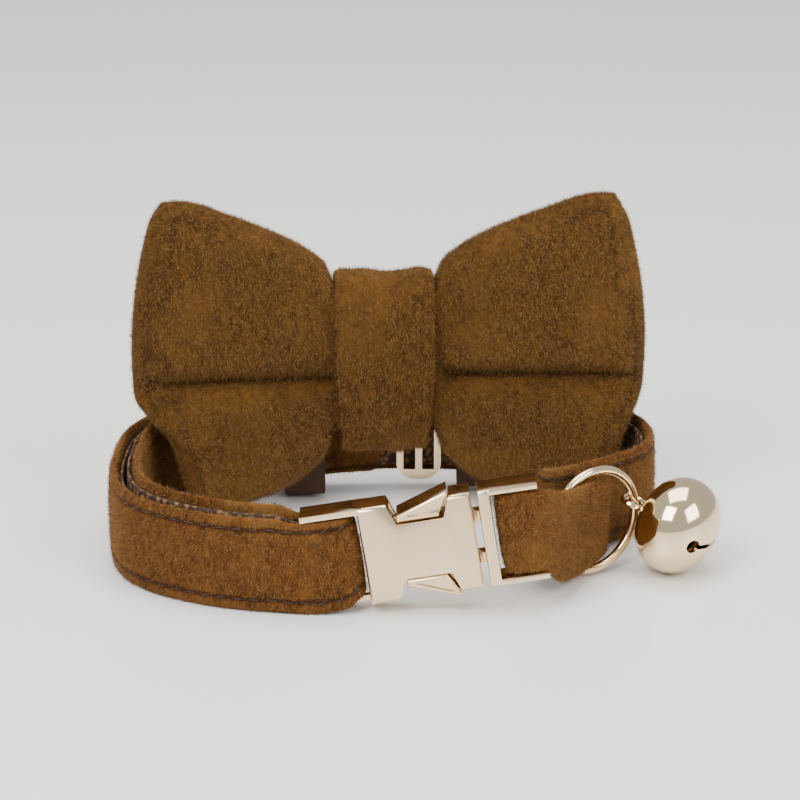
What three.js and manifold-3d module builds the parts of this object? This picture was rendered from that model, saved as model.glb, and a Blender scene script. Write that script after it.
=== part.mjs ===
// Pet collar with a bow tie, a bell and a metal side-release buckle.
// Millimetres, +Z up. The collar stands on its lower edge around the origin,
// with the buckle towards -Y, the bow tie towards +Y and the bell towards +X.
import * as THREE from 'three';
import { mergeVertices } from 'three/addons/utils/BufferGeometryUtils.js';
import Module from 'manifold-3d';

const wasm = await Module();
wasm.setup();

// ---------------------------------------------------------------- sizes
const gap = 0.3;                 // between pieces that touch

const strapWidth = 18.0;         // velvet strap, edge to edge
const velvetThick = 1.8;         // velvet folded over the webbing
const webbingWidth = 15.0;
const webbingThick = 0.8;
const strapThick = velvetThick + gap + webbingThick;
const buckledWidth = 15.4;       // the strap where it is squeezed inside a buckle frame
const tabThick = 2.2;            // the ring's tab, velvet folded on itself
const tabTuck = 3.0;             // length tucked back under the tab
const tabTail = 5.4;             // straight length beside the male bar
const femaleLead = 6.8;          // and beside the female bar
const foldRadius = 3.4;          // outer radius of the tab's fold in the ring
const layerGap = 0.5;            // between the strap's two layers
const innerRise = 1.2;           // the inner layer stands this much higher
const routeSteps = 92;           // stations round the loop
const innerEnd = 0.53;           // share of the route that the inner layer follows back

const buckleLength = 43.2;
const buckleHeight = 18.3;
const buckleDepth = 7.0;
const frameLength = 10.4;        // the open frame of the female half
const plateLength = 20.6;
const halvesGap = 1.3;           // between the two closed halves
const malePlateLength = 2.2;
const wallThick = 1.1;           // top and bottom walls of both frames
const frameDepth = 6.4;
const barThick = 1.6;            // the flat bars that the strap turns round
const femaleSlack = 1.8;         // how far past its bar the strap's turn reaches
const maleSlack = 3.0;           // and the tab's
const barLength = 4.6;
const maleBarLength = 2.4;
const lowerWallStart = 10.5;      // under the strap the lower wall is only a thin strip
const strapSag = 0.9;            // the strap's front layer hangs lower than the frame
const frontWidth = 17.2;
const endSpread = 5;             // how late in its turn the strap widens to this
const notchDepth = 3.9;
const notchFloor = 8.6;
const notchTopLength = 12.9;
const notchStart = 4.6;          // from the plate's left edge
const socketDepth = 3.6;
const armHeight = 2.0;
const buckleCentre = new THREE.Vector3(0.9, -33.3, 12.5);
const buckleRoll = 8.9;          // degrees, the right end lifted
const buckleLean = 2.0;          // degrees, the top leaning back

const ringOuter = 21.4;
const ringWire = 1.9;
const ringCentre = new THREE.Vector3(33.6, -17.0, 11.0);
const ringTurn = 36;             // degrees about Z
const bellHang = 1.5;            // height of the bell's eye above the ring's centre

const bellRadius = 9.4;          // across its equator
const bellHalfLength = 7.4;      // along its axis
const bellWall = 0.8;
const bellTurn = 63;             // degrees of its axis from -Y towards +X
const bellDip = 19.5;            // degrees of the slotted end below level
const slotWidth = 0.9;
const slotHole = 2.7;
const slotSpread = 48;           // degrees from the pole to each hole
const slotRoll = -6;             // degrees of the slot off level
const eyeRadius = 2.2;
const eyeWire = 1.1;

const bowHalfWidth = 50.9;
const bowSidePull = 5.5;         // how far the ends draw in at top and bottom
const bowCentre = new THREE.Vector3(-4.8, 19.0, 32.3);
const bowTurn = 5;               // degrees, the left wing nearer
const bowThick = 10.5;
const waistThick = 7.4;
const bowRound = 6.0;            // how far in from its rim the bow reaches full thickness
const bowRim = 0.6;
const creaseDepth = 4.4;
const creaseHalf = 2.4;
const creaseHeight = -3.4;       // the pleat lies below the middle
const waistShift = -1.1;         // the waist and knot sit left of the middle
const cornerTuck = { left: 6.8, right: 3.4 };  // lower corners, pressed in by the strap
const cornerCurl = 4.0;          // and pushed forward
const wingSteps = 16;
const knotEdge = [10.1, 10.7, 11.4, 12.6];  // stations where a wing leaves the knot
const bowRows = 22;
const knotHalfHeight = 18.5;
const knotDrop = 0.9;            // its middle below the bow's
const knotWidth = 19.4;
const knotHalfDepth = 6.6;
const knotWall = 1.8;

const loopWidth = 8.0;           // elastic loops behind the bow
const loopThick = 1.0;
const loopOffset = 17.5;

const sliderLength = 9.0;        // along the strap
const sliderHeight = 20.4;
const sliderThick = 1.6;
const sliderBar = 1.4;
const sliderX = 1.2;

// Rise of a bow wing's upper and lower edge at each distance from the waist.
const wingOutline = [
  // reach, upper, lower
  [0.0, 14.4, 14.4],
  [10.1, 14.8, 14.8],
  [11.4, 19.0, 19.8],
  [14.0, 21.4, 23.4],
  [17.4, 23.4, 25.8],
  [20.6, 24.9, 27.4],
  [28.0, 28.0, 30.0],
  [37.0, 30.7, 31.6],
  [45.0, 32.1, 32.2],
  [50.9, 32.4, 32.2],
];

// Outer face of the strap seen from above, from the female bar round the
// left, back and right to its end behind the male bar. drop is the height of
// its lower edge.
const strapRoute = [
  // x, y, drop
  [-25.0, -36.8, 0.2],
  [-33.0, -35.0, 0.0],
  [-41.0, -31.8, 0.0],
  [-48.0, -27.4, 0.0],
  [-53.6, -21.4, 0.0],
  [-57.0, -13.4, 0.0],
  [-58.2, -4.4, 0.0],
  [-58.2, 5.0, 0.0],
  [-57.4, 14.0, 0.1],
  [-54.0, 22.6, 0.4],
  [-46.6, 29.2, 0.9],
  [-36.0, 33.0, 1.5],
  [-22.0, 34.6, 2.2],
  [-8.0, 35.4, 3.0],
  [6.0, 35.4, 3.0],
  [20.0, 35.2, 2.2],
  [32.0, 34.0, 1.2],
  [40.6, 30.2, 0.5],
  [45.8, 23.4, 0.1],
  [47.4, 15.4, 0.0],
  [46.4, 8.6, 0.0],
  [43.2, 3.2, 0.2],
  [39.0, -1.4, 0.5],
  [34.6, -6.2, 0.9],
  [30.0, -11.8, 1.8],
  [26.2, -18.0, 3.4],
  [23.4, -24.4, 5.4],
];

// Outer face of the short tab from the male bar to its fold in the ring.
const tabRoute = [
  // x, y, drop, width
  [26.8, -32.1, 4.5, 17.4],
  [28.8, -27.8, 2.8, 18.0],
  [31.4, -23.2, 2.2, 17.6],
  [34.0, -18.8, 2.5, 16.6],
  [36.2, -15.0, 2.7, 16.0],
];

const fabricColour = 0x6e4614;
const webbingColour = 0x5a3a1a;
const elasticColour = 0x3a2412;
const goldColour = 0xe4cdaa;

// ---------------------------------------------------------------- helpers
const group = new THREE.Group();
const degrees = THREE.MathUtils.degToRad;
const mix = THREE.MathUtils.lerp;
const smooth = (value, low, high) => THREE.MathUtils.smoothstep(value, low, high);

function finish(name, geometry, colour, metalness = 0) {
  const roughness = metalness ? 0.15 : 0.95;
  const material = new THREE.MeshStandardMaterial({ color: colour, roughness, metalness });
  const mesh = new THREE.Mesh(geometry, material);
  mesh.name = name;
  group.add(mesh);
  return mesh;
}

function toSolid(geometry) {
  const plain = geometry.clone();
  plain.deleteAttribute('normal');
  plain.deleteAttribute('uv');
  const merged = mergeVertices(plain, 1e-4);
  return new wasm.Manifold(new wasm.Mesh({
    numProp: 3,
    vertProperties: new Float32Array(merged.attributes.position.array),
    triVerts: new Uint32Array(merged.index.array),
  }));
}

function toGeometry(solid) {
  const mesh = solid.getMesh();
  const geometry = new THREE.BufferGeometry();
  geometry.setAttribute('position', new THREE.BufferAttribute(mesh.vertProperties, 3));
  geometry.setIndex(new THREE.BufferAttribute(mesh.triVerts, 1));
  geometry.computeVertexNormals();
  return geometry;
}

// A closed skin over rings of points; loops back on itself when ringed is true.
function skin(rings, ringed = false) {
  const count = rings[0].length;
  const positions = rings.flat().flatMap((point) => [point.x, point.y, point.z]);
  const faces = [];
  const spans = ringed ? rings.length : rings.length - 1;
  for (let i = 0; i < spans; i += 1) {
    const next = (i + 1) % rings.length;
    for (let j = 0; j < count; j += 1) {
      const side = (j + 1) % count;
      faces.push(i * count + j, i * count + side, next * count + side);
      faces.push(i * count + j, next * count + side, next * count + j);
    }
  }
  if (!ringed) {
    [0, rings.length - 1].forEach((end) => {
      const centre = rings[end].reduce((sum, p) => sum.add(p), new THREE.Vector3());
      centre.divideScalar(count);
      const middle = positions.length / 3;
      positions.push(centre.x, centre.y, centre.z);
      for (let j = 0; j < count; j += 1) {
        const a = end * count + j;
        const b = end * count + ((j + 1) % count);
        faces.push(...(end === 0 ? [middle, b, a] : [middle, a, b]));
      }
    });
  }
  const geometry = new THREE.BufferGeometry();
  geometry.setAttribute('position', new THREE.Float32BufferAttribute(positions, 3));
  geometry.setIndex(faces);
  return outward(geometry);
}

// Turns every face round when the skin came out inside out.
function outward(geometry) {
  const at = geometry.attributes.position;
  const index = geometry.index.array;
  const [a, b, c] = [0, 1, 2].map(() => new THREE.Vector3());
  let volume = 0;
  for (let i = 0; i < index.length; i += 3) {
    a.fromBufferAttribute(at, index[i]);
    b.fromBufferAttribute(at, index[i + 1]);
    c.fromBufferAttribute(at, index[i + 2]);
    volume += a.dot(b.cross(c));
  }
  if (volume < 0) {
    for (let i = 0; i < index.length; i += 3) {
      [index[i + 1], index[i + 2]] = [index[i + 2], index[i + 1]];
    }
  }
  geometry.computeVertexNormals();
  return geometry;
}

function box(low, high) {
  const size = [0, 1, 2].map((k) => high[k] - low[k]);
  const middle = [0, 1, 2].map((k) => (high[k] + low[k]) / 2);
  return toSolid(new THREE.BoxGeometry(...size).translate(...middle));
}

// A flat outline in X and Z, pushed evenly either way along Y.
function slab(outline, depth, bevel = 0) {
  const shape = new THREE.Shape(outline.map(([x, z]) => new THREE.Vector2(x, z)));
  const settings = { depth: depth - 2 * bevel, bevelEnabled: bevel > 0 };
  Object.assign(settings, { bevelSize: bevel, bevelThickness: bevel, bevelOffset: -bevel, bevelSegments: 1 });
  const geometry = new THREE.ExtrudeGeometry(shape, settings);
  geometry.translate(0, 0, -(depth / 2 - bevel));
  geometry.rotateX(Math.PI / 2);
  return toSolid(geometry);
}

// ---------------------------------------------------------------- buckle
// The buckle is modelled lying along X, centred, then rolled and leaned.
const buckleTurn = new THREE.Quaternion()
  .setFromAxisAngle(new THREE.Vector3(1, 0, 0), -degrees(buckleLean))
  .multiply(new THREE.Quaternion().setFromAxisAngle(new THREE.Vector3(0, 1, 0), -degrees(buckleRoll)));
const buckleMiddle = 20.7;       // the point of its length that sits at buckleCentre

function place(piece) {
  piece.quaternion.copy(buckleTurn);
  piece.position.copy(buckleCentre);
  piece.translateX(-buckleMiddle);
}

// A point given along, across and up the buckle, in the collar's frame.
function onBuckle(x, y, z) {
  const point = new THREE.Vector3(x - buckleMiddle, y, z);
  return point.applyQuaternion(buckleTurn).add(buckleCentre);
}

const plateStart = frameLength;
const plateEnd = plateStart + plateLength;
const maleStart = plateEnd + halvesGap;
const maleEnd = maleStart + malePlateLength;
const half = buckleHeight / 2;

// The notch that shows a spring button, at the top or bottom edge.
function notch(side, grow) {
  const left = plateStart + notchStart - grow;
  const right = left + notchTopLength + 2 * grow;
  const inset = (notchTopLength - notchFloor) / 2;
  const floor = half - notchDepth - grow;
  return [[left, 1], [left + inset, 0], [right - inset, 0], [right, 1]].map(([x, up]) => [
    x, side * (up ? half + 2 : floor),
  ]);
}

function femaleBuckle() {
  const plate = slab([[plateStart, -half], [plateEnd, -half], [plateEnd, half], [plateStart, half]],
    buckleDepth, 0.5);
  const upperWall = box([0, -frameDepth / 2, half - wallThick], [plateStart + 1, frameDepth / 2, half]);
  const lowerWall = box([lowerWallStart, -frameDepth / 2, -half],
    [plateStart + 1, frameDepth / 2, -half + wallThick]);
  const link = box([0.5, -barThick / 2, -half], [lowerWallStart + 0.5, barThick / 2, -half + wallThick]);
  const bar = box([0.5, -barThick / 2, -half + 0.5], [0.5 + barLength, barThick / 2, half - 0.5]);
  const socket = box([plateStart + 3, -socketDepth / 2, -half + 1.2],
    [plateEnd + 1, socketDepth / 2, half - 1.2]);
  const window = (side) => slab(side > 0 ? notch(1, 0) : notch(-1, 0).reverse(), buckleDepth + 2);
  return plate.add(upperWall).add(lowerWall).add(link).add(bar)
    .subtract(socket).subtract(window(1)).subtract(window(-1));
}

function maleBuckle() {
  const plate = slab([[maleStart, -half], [maleEnd, -half], [maleEnd, half], [maleStart, half]],
    buckleDepth, 0.3);
  const wall = (side) => {
    const edges = [side * half, side * (half - wallThick)].sort((p, q) => p - q);
    return box([maleEnd - 0.5, -frameDepth / 2, edges[0]], [buckleLength, frameDepth / 2, edges[1]]);
  };
  const barStart = buckleLength - 0.4 - maleBarLength;
  const bar = box([barStart, -barThick / 2, -half + 0.5],
    [buckleLength - 0.4, barThick / 2, half - 0.5]);
  let solid = plate.add(wall(1)).add(wall(-1)).add(bar);
  // two spring arms run inside the socket and carry the buttons
  [1, -1].forEach((side) => {
    const top = half - notchDepth - gap;
    const edges = [side * top, side * (top - armHeight)].sort((p, q) => p - q);
    const reach = plateStart + notchStart + 1.5;
    const depth = socketDepth / 2 - gap;
    solid = solid.add(box([reach, -depth, edges[0]], [maleStart + 0.5, depth, edges[1]]));
  });
  return solid;
}

// A wedge button with a sunk triangle on its face.
function lever(side) {
  const left = plateStart + notchStart + 2.4;
  const right = left + 9.5;
  const low = half - notchDepth + gap;
  const points = [[left, low], [right - 2.1, low], [right, low + 3.6], [right, half + 0.9], [left, low + 1.3]];
  const outline = points.map(([x, z]) => [x, side * z]);
  const recess = [[left + 1.6, low + 0.9], [right - 2.0, low + 0.7], [right - 0.8, half + 0.1]];
  const sunk = recess.map(([x, z]) => [x, side * z]);
  const order = (list) => (side > 0 ? list : [...list].reverse());
  const face = slab(order(sunk), 1);
  const solid = slab(order(outline), buckleDepth - 0.4, 0.3);
  return solid.subtract(face.translate(0, -buckleDepth / 2 + 0.1, 0));
}

// ---------------------------------------------------------------- strap
// A station holds the middle of the strap's outer face, the directions out of
// it and up it, and its width there.
const up = new THREE.Vector3(0, 0, 1);

function curveThrough(rows) {
  const points = rows.map(([x, y, drop]) => new THREE.Vector3(x, y, drop));
  return new THREE.CatmullRomCurve3(points, false, 'centripetal');
}

// side is 1 when the outer face lies to the left of the way along the curve.
function stationsOn(curve, count, widths, side) {
  const list = [];
  for (let i = 0; i <= count; i += 1) {
    const foot = curve.getPointAt(i / count);
    const way = curve.getTangentAt(i / count);
    const out = new THREE.Vector3(-way.y, way.x, 0).normalize().multiplyScalar(side);
    const place = (i / count) * (widths.length - 1);
    const before = Math.floor(Math.min(place, widths.length - 1.001));
    const width = mix(widths[before], widths[before + 1], place - before);
    list.push({ middle: foot.addScaledVector(up, width / 2), out, up, width });
  }
  return list;
}

// Half a turn round a bar of the buckle, seen along the bar. Each end has its
// own width and sag below the middle of the frame, and a straight lead.
function turnRound(barX, radius, count, start, end, lead) {
  const list = [];
  const along = new THREE.Vector3(lead, 0, 0).applyQuaternion(buckleTurn);
  const barUp = new THREE.Vector3(0, 0, 1).applyQuaternion(buckleTurn);
  for (let i = 0; i <= count; i += 1) {
    const share = i / count;
    const angle = degrees(mix(start.angle, end.angle, share));
    const spread = share ** endSpread;
    const sag = mix(start.sag, end.sag, spread);
    const middle = onBuckle(barX + radius * Math.cos(angle), radius * Math.sin(angle), -sag);
    const out = new THREE.Vector3(Math.cos(angle), Math.sin(angle), 0).applyQuaternion(buckleTurn);
    list.push({ middle, out, up: barUp, width: mix(start.width, end.width, spread) });
  }
  const [first, last] = [list[0], list[count]];
  const before = { ...first, middle: first.middle.clone().add(along) };
  const after = { ...last, middle: last.middle.clone().add(along) };
  return [before, ...list, after];
}

// The same strap lying against the inner face of the layer at each station.
function behind(list, distance, rise) {
  return list.map((at) => ({
    ...at,
    middle: at.middle.clone().addScaledVector(at.out, -distance).addScaledVector(up, rise),
    out: at.out.clone().negate(),
  }));
}

// A ribbon between two depths below the outer face, with eased edges.
function ribbon(stations, shallow, deep, trim, ease) {
  const rings = stations.map(({ middle, out, up: rise, width }) => {
    const tall = width / 2 - trim;
    const soft = Math.min(ease, (deep - shallow) * 0.49);
    const corners = [
      [shallow + soft, tall], [shallow, tall - soft], [shallow, -tall + soft], [shallow + soft, -tall],
      [deep - soft, -tall], [deep, -tall + soft], [deep, tall - soft], [deep - soft, tall],
    ];
    return corners.map(([depth, height]) => middle.clone()
      .addScaledVector(out, -depth).addScaledVector(rise, height));
  });
  return skin(rings);
}

const loopCurve = curveThrough(strapRoute);
const outerLayer = stationsOn(loopCurve, routeSteps, [strapWidth, strapWidth], 1);
const innerSteps = Math.round(routeSteps * innerEnd);
const innerLayer = behind(outerLayer.slice(0, innerSteps + 1), 2 * strapThick + layerGap, innerRise);
const turnRadius = barThick / 2 + gap + strapThick;
const femaleTurn = turnRound(0.5 + barLength - barThick / 2 + femaleSlack, turnRadius, 10,
  { angle: 90, width: buckledWidth, sag: 0 }, { angle: -90, width: frontWidth, sag: strapSag }, -femaleLead);
const strapStations = [...innerLayer.reverse(), ...femaleTurn, ...outerLayer];

// The ring's tab: a tail behind the male bar, round it, along the front to a
// fold inside the ring, and back underneath.
function tabStations() {
  const radius = barThick / 2 + gap + tabThick;
  const barX = buckleLength - 0.4 - maleBarLength + barThick / 2 - maleSlack;
  const turn = turnRound(barX, radius, 10,
    { angle: 90, width: buckledWidth, sag: 0 }, { angle: 270, width: buckledWidth, sag: 0 }, tabTail);
  const front = stationsOn(curveThrough(tabRoute), 8, tabRoute.map((row) => row[3]), -1);
  const last = front[front.length - 1];
  const way = new THREE.Vector3(-last.out.y, last.out.x, 0);
  const foldMiddle = last.middle.clone().addScaledVector(last.out, -foldRadius);
  const fold = [];
  for (let i = 1; i <= 8; i += 1) {
    const angle = Math.PI * (i / 8);
    const out = last.out.clone().multiplyScalar(Math.cos(angle)).addScaledVector(way, Math.sin(angle));
    fold.push({ middle: foldMiddle.clone().addScaledVector(out, foldRadius), out, up, width: last.width });
  }
  const under = fold[fold.length - 1];
  const end = { ...under, middle: under.middle.clone().addScaledVector(way, -tabTuck) };
  return [...turn, ...front, ...fold, end];
}

// ---------------------------------------------------------------- ring and bell
function wireRing(radius, wire, sides = 10, steps = 40) {
  return new THREE.TorusGeometry(radius, wire / 2, sides, steps);
}

const ringRadius = (ringOuter - ringWire) / 2;
const ringWay = new THREE.Vector3(Math.cos(degrees(ringTurn)), Math.sin(degrees(ringTurn)), 0);
const hangReach = Math.sqrt(ringRadius ** 2 - bellHang ** 2);
const wirePoint = ringCentre.clone().addScaledVector(ringWay, hangReach).addScaledVector(up, bellHang);

// Everything about the bell is modelled with its axis along Y, the slotted
// pole at +Y and the eye at -Y.
function bell() {
  const profile = [];
  const arc = (radius, length, from, to) => {
    const steps = 14;
    for (let i = 0; i <= steps; i += 1) {
      const angle = degrees(mix(from, to, i / steps));
      const reach = Math.max(0, Math.cos(angle)) ** 0.86 * radius;
      profile.push(new THREE.Vector2(Math.abs(reach) < 1e-6 ? 0 : reach, Math.sin(angle) * length));
    }
  };
  arc(bellRadius, bellHalfLength, -90, 90);
  arc(bellRadius - bellWall, bellHalfLength - bellWall, 90, -90);
  profile.push(profile[0].clone());
  let solid = toSolid(outward(new THREE.LatheGeometry(profile, 44)));
  const far = bellHalfLength + 2;
  solid = solid.subtract(box([-bellRadius * Math.sin(degrees(slotSpread)), 0, -slotWidth / 2],
    [bellRadius * Math.sin(degrees(slotSpread)), far, slotWidth / 2]));
  [1, -1].forEach((side) => {
    const hole = new THREE.CylinderGeometry(slotHole / 2, slotHole / 2, 2 * far, 16);
    hole.translate(0, far, 0);
    hole.rotateZ(-side * degrees(slotSpread));
    solid = solid.subtract(toSolid(hole));
  });
  const eye = wireRing(eyeRadius, eyeWire, 8, 24);
  eye.translate(0, -bellHalfLength - eyeRadius + 0.1, 0);
  return solid.add(toSolid(eye));
}

// ---------------------------------------------------------------- bow
function tableAt(rows, value, column) {
  const next = rows.findIndex(([at]) => at > value);
  if (next < 0) return rows[rows.length - 1][column];
  const [low, high] = [rows[next - 1], rows[next]];
  return mix(low[column], high[column], (value - low[0]) / (high[0] - low[0]));
}

function rounded(distance) {
  const share = Math.min(distance / bowRound, 1);
  return Math.sqrt(1 - (1 - share) ** 2);
}

// A point of the bow: across runs -1 to 1 between the ends, rise from bottom
// to top, face is -1 in front and 1 behind.
function bowPoint(across, rise, face) {
  const reach = Math.abs(across) * bowHalfWidth;
  const end = smooth(reach, 28, bowHalfWidth);
  const low = smooth(-rise, 0.26, 0.5);
  const tuck = across < 0 ? cornerTuck.left : cornerTuck.right;
  const corner = smooth(reach, 40, bowHalfWidth) * smooth(Math.abs(rise), 0.86, 1);
  const pull = bowSidePull * rise * rise * end + tuck * low * end + corner;
  const x = Math.sign(across) * (reach - pull) + waistShift * (1 - smooth(reach, 14, 44));
  const z = rise * tableAt(wingOutline, reach, rise > 0 ? 1 : 2) * (1 - 0.02 * corner);
  const full = mix(waistThick, bowThick, smooth(reach, 10, 24)) / 2;
  const edge = rounded((1 - Math.abs(rise)) * bowHalfWidth * 0.62) * rounded(bowHalfWidth - reach);
  const inWing = smooth(reach, 9, 13) * (1 - 0.7 * smooth(reach, 40, 50));
  const crease = face < 0 ? creaseDepth * inWing * Math.exp(-(((z - creaseHeight) / creaseHalf) ** 2)) : 0;
  const curl = cornerCurl * low * smooth(reach, 30, bowHalfWidth);
  const y = face * Math.max(bowRim, full * edge - crease) - curl;
  return new THREE.Vector3(x, y, z);
}

function bowBody() {
  const rings = [];
  const reaches = [0, 5, ...knotEdge];
  for (let i = 1; i <= wingSteps; i += 1) {
    const share = 1 - (1 - i / wingSteps) ** 1.4;
    reaches.push(mix(knotEdge[knotEdge.length - 1], bowHalfWidth, share));
  }
  const shares = reaches.map((reach) => reach / bowHalfWidth);
  const sides = [...shares.slice(1).reverse().map((share) => -share), ...shares];
  sides.forEach((across) => {
    const rises = [];
    for (let j = 0; j <= bowRows; j += 1) {
      const part = (2 * j) / bowRows - 1;
      rises.push(Math.sign(part) * (1 - (1 - Math.abs(part)) ** 1.3));
    }
    const front = rises.map((rise) => bowPoint(across, rise, -1));
    const back = rises.map((rise) => bowPoint(across, rise, 1)).reverse();
    rings.push([...front, ...back]);
  });
  return skin(rings);
}

// A closed band round an axis along X, between an inner and an outer outline in
// Y and Z that have the same number of points.
function band(outer, inner, width, ease) {
  const side = width / 2;
  const rings = outer.map(([y, z], i) => {
    const at = (x, share) => new THREE.Vector3(x, mix(y, inner[i][0], share), mix(z, inner[i][1], share));
    return [at(-side, 1), at(-side, ease), at(-side + ease, 0), at(side - ease, 0), at(side, ease), at(side, 1)];
  });
  return skin(rings, true);
}

function superEllipse(halfDepth, halfHeight, power, steps) {
  const round = (value) => Math.sign(value) * Math.abs(value) ** (2 / power);
  return Array.from({ length: steps }, (_, i) => {
    const angle = (2 * Math.PI * i) / steps;
    return [halfDepth * round(Math.cos(angle)), halfHeight * round(Math.sin(angle))];
  });
}

function roundedRectangle(halfDepth, halfHeight, radius, steps) {
  const points = [];
  [[1, 1], [-1, 1], [-1, -1], [1, -1]].forEach(([ySide, zSide], corner) => {
    for (let i = 0; i <= steps; i += 1) {
      const angle = Math.PI / 2 * (corner + i / steps);
      points.push([
        ySide * (halfDepth - radius) + radius * Math.cos(angle),
        zSide * (halfHeight - radius) + radius * Math.sin(angle),
      ]);
    }
  });
  return points;
}

function placeOnBow(piece, x, y, z) {
  piece.rotation.z = degrees(bowTurn);
  const offset = new THREE.Vector3(x, y, z).applyAxisAngle(up, degrees(bowTurn));
  piece.position.copy(bowCentre).add(offset);
}

// ---------------------------------------------------------------- slider
function sliderFrame() {
  const wide = sliderLength / 2;
  const crown = wide * 0.7;
  const outline = [];
  [1, -1].forEach((end) => {
    for (let i = 0; i <= 10; i += 1) {
      const angle = Math.PI * (i / 10);
      outline.push([
        end * wide * Math.cos(angle), end * (sliderHeight / 2 - crown + crown * Math.sin(angle)),
      ]);
    }
  });
  const windowHigh = buckledWidth / 2 + gap;
  let solid = slab(outline, sliderThick);
  [-1, 1].forEach((side) => {
    const edges = [side * sliderBar / 2, side * (wide - sliderBar)].sort((p, q) => p - q);
    solid = solid.subtract(box([edges[0], -sliderThick, -windowHigh], [edges[1], sliderThick, windowHigh]));
  });
  return toGeometry(solid);
}

// ---------------------------------------------------------------- build
place(finish('buckle_female', toGeometry(femaleBuckle()), goldColour, 1));
place(finish('buckle_male', toGeometry(maleBuckle()), goldColour, 1));
place(finish('lever_upper', toGeometry(lever(1)), goldColour, 1));
place(finish('lever_lower', toGeometry(lever(-1)), goldColour, 1));

const webbingTrim = (strapWidth - webbingWidth) / 2;
finish('strap_velvet', ribbon(strapStations, 0, velvetThick, 0, 0.7), fabricColour);
finish('strap_webbing', ribbon(strapStations, velvetThick + gap, strapThick, webbingTrim, 0.2),
  webbingColour);
finish('ring_tab', ribbon(tabStations(), 0, tabThick, 0, 0.8), fabricColour);

const leashRing = finish('leash_ring', wireRing(ringRadius, ringWire), goldColour, 1);
leashRing.rotation.set(Math.PI / 2, 0, degrees(ringTurn), 'ZYX');
leashRing.position.copy(ringCentre);

// The bell lies on the ring's wire by its eye, its slotted end turned down.
const level = Math.cos(degrees(bellDip));
const bellAxis = new THREE.Vector3(
  level * Math.sin(degrees(bellTurn)), -level * Math.cos(degrees(bellTurn)), -Math.sin(degrees(bellDip)));
const bellLevel = new THREE.Vector3().crossVectors(bellAxis, up).normalize();
const bellRise = new THREE.Vector3().crossVectors(bellLevel, bellAxis);
const bellMesh = finish('bell', toGeometry(bell()), goldColour, 1);
bellMesh.quaternion.setFromRotationMatrix(new THREE.Matrix4().makeBasis(bellLevel, bellAxis, bellRise));
bellMesh.rotateY(degrees(slotRoll));
bellMesh.position.copy(wirePoint).addScaledVector(bellAxis, bellHalfLength + eyeRadius - 0.1);

placeOnBow(finish('bow_body', bowBody(), fabricColour), 0, 0, 0);
const knot = band(superEllipse(knotHalfDepth, knotHalfHeight, 3.2, 40),
  superEllipse(knotHalfDepth - knotWall, knotHalfHeight - knotWall, 3.2, 40), knotWidth, 0.5);
placeOnBow(finish('bow_knot', knot, fabricColour), waistShift, 0, -knotDrop);

// the strap's place behind the bow at a given X
function strapAt(x) {
  const [first, last] = [0.35, 0.75];
  let best = null;
  for (let i = 0; i <= 200; i += 1) {
    const where = mix(first, last, i / 200);
    const foot3 = loopCurve.getPointAt(where);
    if (!best || Math.abs(foot3.x - x) < Math.abs(best.foot.x - x)) {
      best = { foot: foot3, way: loopCurve.getTangentAt(where) };
    }
  }
  return best;
}

['left', 'right'].forEach((name, i) => {
  const side = i === 0 ? -1 : 1;
  const { foot: at, way } = strapAt(bowCentre.x + side * loopOffset);
  const front = bowCentre.y + side * loopOffset * Math.sin(degrees(bowTurn)) + bowThick / 2 + 1.2;
  const back = at.y + loopThick + gap;
  const low = at.z - loopThick - gap;
  const high = at.z + strapWidth + innerRise + loopThick + gap;
  const halfDepth = (back - front) / 2;
  const halfHeight = (high - low) / 2;
  const geometry = band(roundedRectangle(halfDepth, halfHeight, 1.6, 5),
    roundedRectangle(halfDepth - loopThick, halfHeight - loopThick, 0.6, 5), loopWidth, 0.2);
  const piece = finish(`bow_loop_${name}`, geometry, elasticColour);
  piece.rotation.z = Math.atan2(way.y, way.x);
  piece.position.set(at.x, (front + back) / 2, (low + high) / 2);
});

const { foot: sliderFoot, way: sliderWay } = strapAt(sliderX);
const slider = finish('slider', sliderFrame(), goldColour, 1);
slider.rotation.z = Math.atan2(sliderWay.y, sliderWay.x);
slider.position.set(sliderFoot.x, sliderFoot.y - strapThick - gap - sliderThick / 2,
  sliderFoot.z + strapWidth / 2 + 0.2);

// The collar is centred over the origin and stands on Z = 0.
const around = new THREE.Box3().setFromObject(group, true);
const middle = around.getCenter(new THREE.Vector3()).setZ(around.min.z);
group.children.forEach((mesh) => mesh.position.sub(middle));

export default group;
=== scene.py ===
import math

import bmesh
import bpy
import numpy as np
from mathutils import Matrix, Vector, noise
from mathutils.bvhtree import BVHTree
from mathutils.kdtree import KDTree


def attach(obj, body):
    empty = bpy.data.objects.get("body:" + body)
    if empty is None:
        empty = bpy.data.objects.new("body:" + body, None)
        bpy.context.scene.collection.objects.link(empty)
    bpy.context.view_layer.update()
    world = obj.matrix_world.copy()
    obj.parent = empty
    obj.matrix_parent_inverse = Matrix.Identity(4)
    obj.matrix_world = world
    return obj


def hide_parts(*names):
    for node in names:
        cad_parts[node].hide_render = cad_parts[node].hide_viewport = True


mm = 0.001
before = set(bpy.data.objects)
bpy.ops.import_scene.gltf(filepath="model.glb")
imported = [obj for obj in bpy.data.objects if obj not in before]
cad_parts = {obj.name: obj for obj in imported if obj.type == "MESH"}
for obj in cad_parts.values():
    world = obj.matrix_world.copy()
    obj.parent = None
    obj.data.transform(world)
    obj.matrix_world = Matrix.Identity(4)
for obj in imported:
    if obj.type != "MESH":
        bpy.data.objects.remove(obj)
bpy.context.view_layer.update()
print("frame loaded")

# The camera looks a little down on the buckle side.
view = dict(place=(-2.38, -525.0, 199.86), down=18.0, lens=130.5, sensor=36.0)

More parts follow.
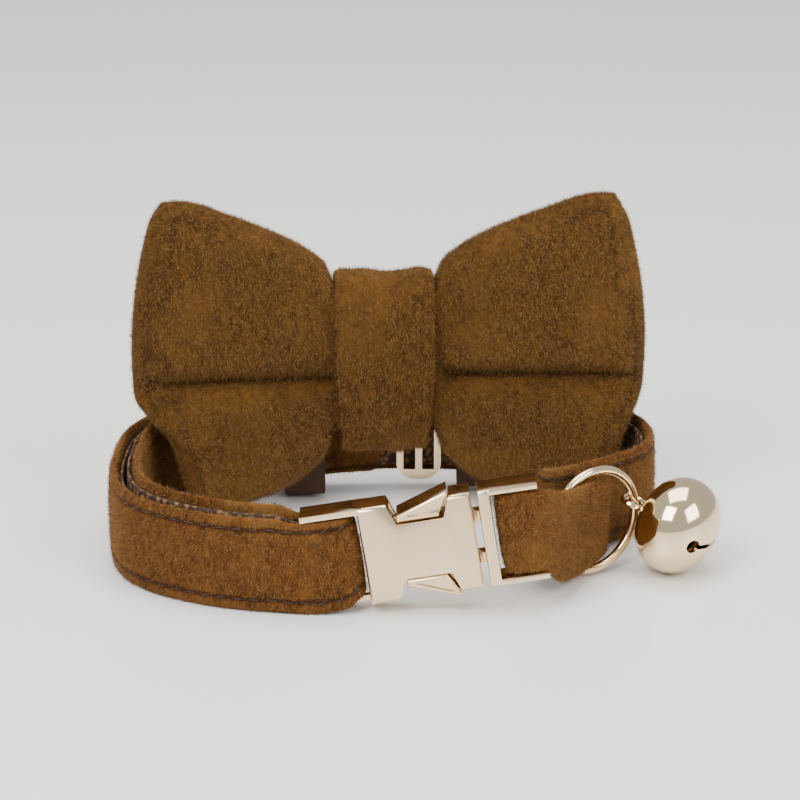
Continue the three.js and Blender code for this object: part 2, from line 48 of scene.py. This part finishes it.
cameraData = bpy.data.cameras.new("camera")
cameraData.lens = view["lens"]
cameraData.sensor_width = view["sensor"]
camera = bpy.data.objects.new("camera", cameraData)
camera.location = Vector(view["place"]) * mm
camera.rotation_euler = (math.radians(90 - view["down"]), 0, 0)
bpy.context.scene.collection.objects.link(camera)
bpy.context.scene.camera = camera


# Materials
# A hex sRGB code as linear red, green, blue and alpha.
def colour(code):
    parts = [int(code[i:i + 2], 16) / 255 for i in (1, 3, 5)]
    linear = [p / 12.92 if p <= 0.04045 else ((p + 0.055) / 1.055) ** 2.4 for p in parts]
    return linear + [1.0]


def addNode(tree, kind, values=None, **settings):
    node = tree.nodes.new(kind)
    for name, value in settings.items():
        setattr(node, name, value)
    for name, value in (values or {}).items():
        if isinstance(value, bpy.types.NodeSocket):
            tree.links.new(value, node.inputs[name])
        else:
            node.inputs[name].default_value = value
    return node


def newMaterial(name):
    material = bpy.data.materials.new(name)
    material.use_nodes = True
    tree = material.node_tree
    return material, tree, tree.nodes["Principled BSDF"]


def mixColour(tree, share, first, second):
    node = addNode(tree, "ShaderNodeMix", {}, data_type="RGBA")
    for socket, value in ((node.inputs[0], share), (node.inputs[6], first), (node.inputs[7], second)):
        if isinstance(value, bpy.types.NodeSocket):
            tree.links.new(value, socket)
        else:
            socket.default_value = value
    return node.outputs[2]


# Size of the brushed streaks in the pile and how deep they read, in mm.
streakSize = 1.1
streakRelief = 0.4


# Woven velvet: a short brushed pile, lighter in patches, with painted shade along its seams, sunk
# stitch lines and pleat creases.
def velvet(name, settings):
    material, tree, shader = newMaterial(name)
    place = addNode(tree, "ShaderNodeTexCoord").outputs["Object"]
    patches = addNode(tree, "ShaderNodeTexNoise",
                      {"Vector": place, "Scale": 1 / (settings["patch"] * mm), "Detail": 3.0})
    stretched = addNode(tree, "ShaderNodeMapping", {"Vector": place, "Scale": settings["streak"]})
    streaks = addNode(tree, "ShaderNodeTexNoise",
                      {"Vector": stretched.outputs[0], "Scale": 1 / (streakSize * mm), "Detail": 4.0,
                       "Roughness": 0.6})
    ramp = addNode(tree, "ShaderNodeMapRange",
                   {"Value": streaks.outputs[0], "From Min": 0.34, "From Max": 0.68})
    base = mixColour(tree, ramp.outputs[0], colour(settings["dark"]), colour(settings["middle"]))
    glow = addNode(tree, "ShaderNodeMapRange",
                   {"Value": patches.outputs[0], "From Min": 0.45, "From Max": 0.75, "To Max": 0.45})
    base = mixColour(tree, glow.outputs[0], base, colour(settings["light"]))
    # painted shade: the bow's sunk seams and the crease under its overhanging pleat darken towards
    # the seam colour
    seam_and_crease_shade = addNode(tree, "ShaderNodeAttribute", attribute_name="seam_and_crease_shade")
    base = mixColour(tree, seam_and_crease_shade.outputs["Fac"], base, colour(settings["seam"]))
    across = addNode(tree, "ShaderNodeAttribute", attribute_name="across").outputs["Fac"]
    # painted shade along the strap's sunk stitch lines, darkening towards the seam colour
    line = addNode(tree, "ShaderNodeMath", {0: across, 1: settings["line"]}, operation="SUBTRACT")
    far = addNode(tree, "ShaderNodeMath", {0: line.outputs[0]}, operation="ABSOLUTE")
    sunk = addNode(tree, "ShaderNodeMapRange",
                   {"Value": far.outputs[0], "From Min": 0.2, "From Max": 0.75,
                    "To Min": 0.85, "To Max": 0.0})
    base = mixColour(tree, sunk.outputs[0], base, colour(settings["seam"]))
    tree.links.new(base, shader.inputs["Base Color"])
    bump = addNode(tree, "ShaderNodeBump",
                   {"Height": streaks.outputs[0], "Strength": 0.55, "Distance": streakRelief * mm})
    tree.links.new(bump.outputs[0], shader.inputs["Normal"])
    shader.inputs["Roughness"].default_value = 0.95
    shader.inputs["Specular IOR Level"].default_value = 0.15
    shader.inputs["Sheen Weight"].default_value = settings["sheen"]
    shader.inputs["Sheen Roughness"].default_value = 0.4
    shader.inputs["Sheen Tint"].default_value = colour(settings["tint"])
    return material


# The pile's single fibres, each a little lighter or darker.
def pileFibre(name, settings):
    material, tree, shader = newMaterial(name)
    shade = addNode(tree, "ShaderNodeAttribute", attribute_name="shade")
    base = mixColour(tree, shade.outputs["Fac"], colour(settings["dark"]), colour(settings["light"]))
    tree.links.new(base, shader.inputs["Base Color"])
    shader.inputs["Roughness"].default_value = 0.75
    shader.inputs["Specular IOR Level"].default_value = 0.3
    return material


# Size of the slight haze left by polishing, in mm.
hazeSize = 6


# Cast or pressed metal, polished and plated champagne gold.
def plated(name, code, roughness):
    material, tree, shader = newMaterial(name)
    place = addNode(tree, "ShaderNodeTexCoord").outputs["Object"]
    haze = addNode(tree, "ShaderNodeTexNoise",
                   {"Vector": place, "Scale": 1 / (hazeSize * mm), "Detail": 3.0})
    rough = addNode(tree, "ShaderNodeMapRange",
                    {"Value": haze.outputs[0], "To Min": roughness * 0.8,
                     "To Max": roughness * 1.3})
    tree.links.new(rough.outputs[0], shader.inputs["Roughness"])
    shader.inputs["Base Color"].default_value = colour(code)
    shader.inputs["Metallic"].default_value = 1.0
    return material


# An even colour, for spun thread, knitted braid and polished acrylic.
def plain(name, code, roughness):
    material, _, shader = newMaterial(name)
    shader.inputs["Base Color"].default_value = colour(code)
    shader.inputs["Roughness"].default_value = roughness
    return material


# Woven polyester webbing: raised light threads, with painted shade between them.
def wovenWebbing(name, weave):
    material, tree, shader = newMaterial(name)
    place = addNode(tree, "ShaderNodeTexCoord").outputs["Object"]
    threads = addNode(tree, "ShaderNodeTexVoronoi",
                      {"Vector": place, "Scale": 1 / (weave["pitch"] * mm)})
    # painted shade: darker away from each thread's middle, between the threads
    ramp = addNode(tree, "ShaderNodeMapRange",
                   {"Value": threads.outputs["Distance"], "From Min": 0.1, "From Max": 0.6})
    base = mixColour(tree, ramp.outputs[0], colour(weave["light"]), colour(weave["dark"]))
    tree.links.new(base, shader.inputs["Base Color"])
    bump = addNode(tree, "ShaderNodeBump",
                   {"Height": threads.outputs["Distance"], "Strength": 0.8,
                    "Distance": weave["relief"] * mm})
    bump.invert = True
    tree.links.new(bump.outputs[0], shader.inputs["Normal"])
    shader.inputs["Roughness"].default_value = 0.8
    return material


# line is where the stitches sink in and painted shade darkens the velvet, from the middle of the
# width; -50 is none. seam is the colour of the painted shade.
strapLook = dict(dark="#3A2008", middle="#5F3A14", light="#8C6430", seam="#241104",
                 tint="#C08A48", patch=16, streak=(1.0, 1.0, 0.45), sheen=0.4, line=6.7)
bowLook = dict(dark="#331E07", middle="#573810", light="#7E5624", seam="#1C0F03",
               tint="#B08448", patch=20, streak=(1.0, 1.0, 0.4), sheen=0.45, line=-50.0)
strapVelvet = velvet("velvet_brushed_on_webbing", strapLook)
bowVelvet = velvet("velvet_sewn_and_filled", bowLook)
strapFibre = pileFibre("velvet_pile_strap", dict(dark="#3B230B", light="#8A6230"))
bowFibre = pileFibre("velvet_pile_bow", dict(dark="#352008", light="#7F5C2A"))
castGold = plated("zinc_alloy_cast_plated_gold", "#E8CFA8", 0.13)
bellGold = plated("brass_sheet_pressed_plated_gold", "#EAD3AC", 0.1)
sewingThread = plain("polyester_sewing_thread_spun", "#2E1A08", 0.7)
elasticBraid = plain("elastic_braid_knitted", "#3A2412", 0.9)
weave = dict(light="#8A6234", dark="#2A180A", pitch=1.1, relief=0.3)
webbingLook = wovenWebbing("polyester_webbing_woven", weave)


# Meshes
def newPiece(name, mesh, material, nodes=()):
    piece = bpy.data.objects.new(name, mesh)
    bpy.context.scene.collection.objects.link(piece)
    mesh.materials.clear()
    mesh.materials.append(material)
    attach(piece, "root")
    if nodes:
        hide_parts(*nodes)
    return piece


mergeGap = 0.004                 # mm between vertices that are one
sharpFrom = math.radians(30)     # edges bent more than this are rounded over
creaseFrom = math.radians(38)    # and those bent more than this still shade as edges


# A frame node's shape with its doubles merged, as quads where square is true.
def copyOf(node, square):
    shape = bmesh.new()
    shape.from_mesh(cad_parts[node].data)
    bmesh.ops.remove_doubles(shape, verts=shape.verts, dist=mergeGap * mm)
    if square:
        bmesh.ops.join_triangles(shape, faces=shape.faces,
                                 angle_face_threshold=math.radians(50),
                                 angle_shape_threshold=math.radians(60))
    bmesh.ops.recalc_face_normals(shape, faces=shape.faces)
    return shape


# A smoother mesh of a cloth or wire node.
def refined(name, node, levels):
    shape = copyOf(node, True)
    rough = bpy.data.meshes.new(name + "_rough")
    shape.to_mesh(rough)
    shape.free()
    carrier = bpy.data.objects.new(name + "_carrier", rough)
    bpy.context.scene.collection.objects.link(carrier)
    smoother = carrier.modifiers.new("smoother", "SUBSURF")
    smoother.levels = levels
    smoother.render_levels = levels
    seen = carrier.evaluated_get(bpy.context.evaluated_depsgraph_get())
    mesh = bpy.data.meshes.new_from_object(seen)
    bpy.data.objects.remove(carrier)
    mesh.name = name
    for face in mesh.polygons:
        face.use_smooth = True
    return mesh


# A hard node with its sharp edges rounded over by width, in mm.
def eased(name, node, width):
    shape = copyOf(node, False)
    bmesh.ops.dissolve_limit(shape, angle_limit=math.radians(1), verts=shape.verts,
                             edges=shape.edges)
    if width:
        sharp = [edge for edge in shape.edges
                 if edge.is_manifold and edge.calc_face_angle(0) > sharpFrom]
        bmesh.ops.bevel(shape, geom=sharp, offset=width * mm, offset_type="OFFSET", segments=2,
                        profile=0.5, affect="EDGES", clamp_overlap=True, material=-1)
    for edge in shape.edges:
        edge.smooth = edge.calc_face_angle(0) < creaseFrom
    for face in shape.faces:
        face.smooth = True
    mesh = bpy.data.meshes.new(name)
    shape.to_mesh(mesh)
    shape.free()
    return mesh


def pointsOf(mesh):
    points = np.empty(len(mesh.vertices) * 3)
    mesh.vertices.foreach_get("co", points)
    return points.reshape(-1, 3)


def normalsOf(mesh):
    normals = np.empty(len(mesh.vertices) * 3)
    mesh.vertex_normals.foreach_get("vector", normals)
    return normals.reshape(-1, 3)


def movePoints(mesh, points):
    mesh.vertices.foreach_set("co", points.ravel())
    mesh.update()


def setAttribute(mesh, name, values):
    layer = mesh.attributes.new(name, "FLOAT", "POINT")
    layer.data.foreach_set("value", np.asarray(values, dtype=float))


# Short fibres of one triangle each, leaning along the brushed way. pressed gives
# how flat the pile lies at each root, from 0 to 1.
def pile(name, mesh, material, settings, rng, pressed=None):
    mesh.calc_loop_triangles()
    points = pointsOf(mesh)
    corners = np.empty(len(mesh.loop_triangles) * 3, dtype=int)
    mesh.loop_triangles.foreach_get("vertices", corners)
    corners = corners.reshape(-1, 3)
    a, b, c = (points[corners[:, i]] for i in range(3))
    cross = np.cross(b - a, c - a)
    area = np.linalg.norm(cross, axis=1)
    count = settings["count"]
    chosen = rng.choice(len(area), count, p=area / area.sum())
    u, v = rng.random((2, count))
    over = u + v > 1
    u[over], v[over] = 1 - u[over], 1 - v[over]
    root = a[chosen] + (b - a)[chosen] * u[:, None] + (c - a)[chosen] * v[:, None]
    normal = cross[chosen] / area[chosen][:, None]
    comb = np.array(settings["comb"]) + rng.normal(0, settings["stray"], (count, 3))
    comb -= normal * (comb * normal).sum(1)[:, None]
    way = normal * settings["lift"] + comb
    way /= np.linalg.norm(way, axis=1)[:, None]
    length = settings["length"] * mm * rng.uniform(0.55, 1.2, count)[:, None]
    if pressed is not None:
        length *= 1 - 0.85 * pressed(root)[:, None]
    side = np.cross(way, normal)
    side /= np.linalg.norm(side, axis=1)[:, None] + 1e-9
    side *= settings["width"] * mm / 2
    tip = root + way * length
    corner = np.stack([root - side, root + side, tip], axis=1).reshape(-1, 3)
    faces = np.arange(len(corner)).reshape(-1, 3)
    hairs = bpy.data.meshes.new(name)
    hairs.from_pydata(corner.tolist(), [], faces.tolist())
    setAttribute(hairs, "shade", np.repeat(rng.random(count), 3))
    newPiece(name, hairs, material)


rng = np.random.default_rng(7)

# The strap, its tab, stitches and webbing
strapPile = dict(count=120000, length=0.75, width=0.09, lift=0.75, comb=(0.0, 0.0, -0.5),
                 stray=0.45)
strap = dict(width=18, hub=(-5.0, 0.0), bearings=720, scans=96, scanStep=0.25, sunk=0.5)
stitch = dict(inset=2.3, pitch=3.0, length=2.1, radius=0.16, stand=0.1, slack=0.4, leap=2.0)


# Points and normals up the strap's outer face, lowest first, at each bearing round it.
def edgeScan(mesh):
    tree = BVHTree.FromPolygons([v.co for v in mesh.vertices],
                                [p.vertices[:] for p in mesh.polygons])
    hubX, hubY = strap["hub"]
    outside = 0.2
    rows = []
    for i in range(strap["bearings"]):
        angle = 2 * math.pi * i / strap["bearings"]
        way = Vector((math.cos(angle), math.sin(angle), 0))
        hits = []
        for k in range(strap["scans"]):
            start = Vector((hubX * mm, hubY * mm, k * strap["scanStep"] * mm)) + way * outside
            hit, normal, _, far = tree.ray_cast(start, -way)
            if hit and far < outside:
                hits.append((hit, normal))
        rows.append(hits)
    return rows


# How far each point lies from the middle of the strap's width, in mm.
def acrossAt(rows, points):
    low = np.array([r[0][0].z if r else 0.0 for r in rows])
    hubX, hubY = strap["hub"]
    bearing = np.arctan2(points[:, 1] - hubY * mm, points[:, 0] - hubX * mm)
    index = np.round(bearing / (2 * np.pi) * len(rows)).astype(int) % len(rows)
    return np.abs((points[:, 2] - low[index]) / mm - strap["width"] / 2)


strapMesh = refined("strap_velvet_soft", "strap_velvet", 2)
rows = edgeScan(strapMesh)
setAttribute(strapMesh, "across", acrossAt(rows, pointsOf(strapMesh)))
newPiece("strap_velvet_soft", strapMesh, strapVelvet, ["strap_velvet"])
pile("strap_pile", strapMesh, strapFibre, strapPile, rng,
     lambda roots: np.exp(-((acrossAt(rows, roots) - strapLook["line"]) / strap["sunk"]) ** 2))

tabMesh = refined("ring_tab_soft", "ring_tab", 2)
newPiece("ring_tab_soft", tabMesh, strapVelvet, ["ring_tab"])
pile("ring_tab_pile", tabMesh, strapFibre, dict(strapPile, count=20000), rng)

stitches = bmesh.new()
stitchSize = [stitch["length"] / 2 * mm, stitch["radius"] * mm, stitch["radius"] * mm, 1]
for rise in (stitch["inset"], strap["width"] - stitch["inset"]):
    line = []
    for i, hits in enumerate(rows):
        if not hits:
            continue
        want = hits[0][0].z + rise * mm
        hit, normal = min(hits, key=lambda pair: abs(pair[0].z - want))
        if abs(hit.z - want) < stitch["slack"] * mm:
            line.append((hit, normal))
    last = None
    for (hit, normal), (ahead, _) in zip(line, line[1:]):
        if last is not None and (hit - last).length < stitch["pitch"] * mm:
            continue
        way = ahead - hit
        if not 1e-6 <= way.length <= stitch["leap"] * mm:
            continue
        last = hit
        turn = way.to_track_quat("X", "Z").to_matrix().to_4x4()
        spot = Matrix.Translation(hit + normal * stitch["stand"] * mm) @ turn
        bmesh.ops.create_uvsphere(stitches, u_segments=8, v_segments=6, radius=1,
                                  matrix=spot @ Matrix.Diagonal(stitchSize))
for face in stitches.faces:
    face.smooth = True
stitchMesh = bpy.data.meshes.new("strap_stitches")
stitches.to_mesh(stitchMesh)
stitches.free()
newPiece("strap_stitches", stitchMesh, sewingThread)

webbingMesh = refined("strap_webbing_woven", "strap_webbing", 1)
newPiece("strap_webbing_woven", webbingMesh, webbingLook, ["strap_webbing"])
print("strap done")

# The bow, its knot and its elastic loops
bow = dict(centre=(-4.45, 19.5, 32.4), turn=5.0, waist=9.5,
           folds=7.0, foldDepth=0.5, foldFull=12, foldEnd=26.0,
           crease=-3.4, creaseHalf=1.1, lip=1.1, lipRise=2.2, lipHalf=2.6, lipDrop=0.8,
           pad=0.55, padScale=13.0, padRim=4,
           seamInset=2.4, seamHalf=0.55, seamDepth=0.4, seamFrom=33, seamShade=0.7)
bowPile = dict(count=160000, length=0.85, width=0.09, lift=0.7, comb=(0.25, 0.0, -0.45),
               stray=0.45)
unturn = Matrix.Rotation(-math.radians(bow["turn"]), 4, "Z")
intoBow = unturn @ Matrix.Translation(-Vector(bow["centre"]) * mm)


# The same points along, through and up the bow from its middle, in mm.
def onBow(points):
    grid = np.array(intoBow)
    return (points @ grid[:3, :3].T + grid[:3, 3]) / mm


bowMesh = refined("bow_body_soft", "bow_body", 2)
points = pointsOf(bowMesh)
normals = normalsOf(bowMesh)
local = onBow(points)
reach = np.abs(local[:, 0])
spread = np.arctan2(local[:, 2], np.maximum(reach - 3, 1))
near = np.clip((bow["foldEnd"] - reach) / (bow["foldEnd"] - bow["foldFull"]), 0, 1)
near *= np.clip((reach - bow["waist"]) / 3, 0, 1)
side = np.sign(local[:, 0])
# folds fan out from the knot, broad ones with finer ones between
fold = np.sin(spread * bow["folds"] + side * 0.9)
fold += 0.5 * np.sin(spread * bow["folds"] * 2.3 + 1.7 * side)
puff = np.array([noise.noise(Vector(p) / bow["padScale"]) for p in local])
rim = np.abs(normals[:, 1]) < 0.35
tree = KDTree(int(rim.sum()))
for i, p in enumerate(local[rim]):
    tree.insert((p[0], 0, p[2]), i)
tree.balance()
rimGap = np.array([tree.find((p[0], 0, p[2]))[2] for p in local])
# painted shade along the sunk seam near the rim
seam = np.exp(-((rimGap - bow["seamInset"]) / bow["seamHalf"]) ** 2)
seam *= reach > bow["seamFrom"]
inner = np.clip(rimGap / bow["padRim"], 0, 1)
front = (normals[:, 1] < 0) * np.clip((reach - bow["waist"]) / 2, 0, 1) * inner
# the cloth above the pleat hangs over it
above = local[:, 2] - bow["crease"]
# painted shadow in the crease under the overhanging cloth
crease = front * np.exp(-(above / bow["creaseHalf"]) ** 2)
lipShape = np.exp(-((above - bow["lipRise"]) / bow["lipHalf"]) ** 2)
lip = front * np.where(above > 0, lipShape, 0)
shift = near * fold * bow["foldDepth"] * inner + puff * bow["pad"] * inner
shift -= seam * bow["seamDepth"]
moved = points + normals * (shift * mm)[:, None]
moved[:, 1] -= lip * bow["lip"] * mm
moved[:, 2] -= lip * bow["lipDrop"] * mm
movePoints(bowMesh, moved)
# the seam and crease masks are stored as painted shade for the velvet
setAttribute(bowMesh, "seam_and_crease_shade", np.clip(seam * bow["seamShade"] + crease, 0, 1))
bowPiece = newPiece("bow_body_soft", bowMesh, bowVelvet, ["bow_body"])
pile("bow_pile", bowMesh, bowFibre, bowPile, rng)

knot = dict(dip=1.1, dipHalf=4.0, dipFrom=13, fold=0.28, taper=0.14, taperOver=18, offset=-1.1)
knotMesh = refined("bow_knot_soft", "bow_knot", 2)
points = pointsOf(knotMesh)
normals = normalsOf(knotMesh)
local = onBow(points)
waves = np.sin(local[:, 0] * 1.15 + 0.06 * local[:, 2]) + 0.6 * np.sin(local[:, 0] * 0.6 + 1)
ease = np.clip((bow["waist"] - np.abs(local[:, 0])) / 2, 0, 1)
shift = waves * knot["fold"] * ease
moved = points + normals * (shift * mm)[:, None]
# its top edge dips in the middle
dip = np.exp(-(local[:, 0] / knot["dipHalf"]) ** 2)
dip *= np.clip((local[:, 2] - knot["dipFrom"]) / 4, 0, 1)
moved[:, 2] -= dip * knot["dip"] * mm
# the sides draw in towards the lower end
centreX = bow["centre"][0] * mm + knot["offset"] * mm
draw = 1 - knot["taper"] * np.clip(-local[:, 2] / knot["taperOver"], 0, 1)
moved[:, 0] = centreX + (moved[:, 0] - centreX) * draw
movePoints(knotMesh, moved)
knotPiece = newPiece("bow_knot_soft", knotMesh, bowVelvet, ["bow_knot"])
knotPile = dict(bowPile, count=32000, comb=(0, 0, -0.5))
pile("bow_knot_pile", knotMesh, bowFibre, knotPile, rng)

loopEase = 0.2
for name in ("bow_loop_left", "bow_loop_right"):
    loopMesh = eased(name + "_soft", name, loopEase)
    newPiece(name + "_soft", loopMesh, elasticBraid, [name])
print("bow done")

# The metal pieces
metalEase = dict(buckle_female=0.3, buckle_male=0.25, lever_upper=0.25, lever_lower=0.25,
                 slider=0.35)
for name, width in metalEase.items():
    metalMesh = eased(name + "_plated", name, width)
    newPiece(name + "_plated", metalMesh, castGold, [name])
ringMesh = refined("leash_ring_plated", "leash_ring", 2)
newPiece("leash_ring_plated", ringMesh, castGold, ["leash_ring"])
bellMesh = eased("bell_plated", "bell", 0)
newPiece("bell_plated", bellMesh, bellGold, ["bell"])
print("metal done")

# The floor and the light
floorMesh = bpy.data.meshes.new("floor")
corners = [(-4, -4, 0), (4, -4, 0), (4, 4, 0), (-4, 4, 0)]
floorMesh.from_pydata(corners, [], [(0, 1, 2, 3)])
floor = bpy.data.objects.new("floor", floorMesh)
bpy.context.scene.collection.objects.link(floor)
floorMesh.materials.append(plain("white_acrylic_sheet_polished", "#F1EFEC", 0.28))

lightAim = 25
lights = [
    # name, place in mm, size in mm, watts
    ("key", (-350, -520, 650), 500, 9.0),
    ("fill", (520, -420, 420), 450, 4.0),
    ("top", (0, 120, 800), 600, 6.0),
]
for name, place, size, watts in lights:
    data = bpy.data.lights.new(name, "AREA")
    data.size = size * mm
    data.energy = watts
    lamp = bpy.data.objects.new(name, data)
    lamp.location = Vector(place) * mm
    aim = Vector((0, 0, lightAim * mm)) - lamp.location
    lamp.rotation_euler = aim.to_track_quat("-Z", "Y").to_euler()
    bpy.context.scene.collection.objects.link(lamp)

world = bpy.data.worlds.new("studio")
world.use_nodes = True
background = world.node_tree.nodes["Background"]
background.inputs["Color"].default_value = colour("#F4F4F5")
background.inputs["Strength"].default_value = 0.75
bpy.context.scene.world = world
print("stage done")
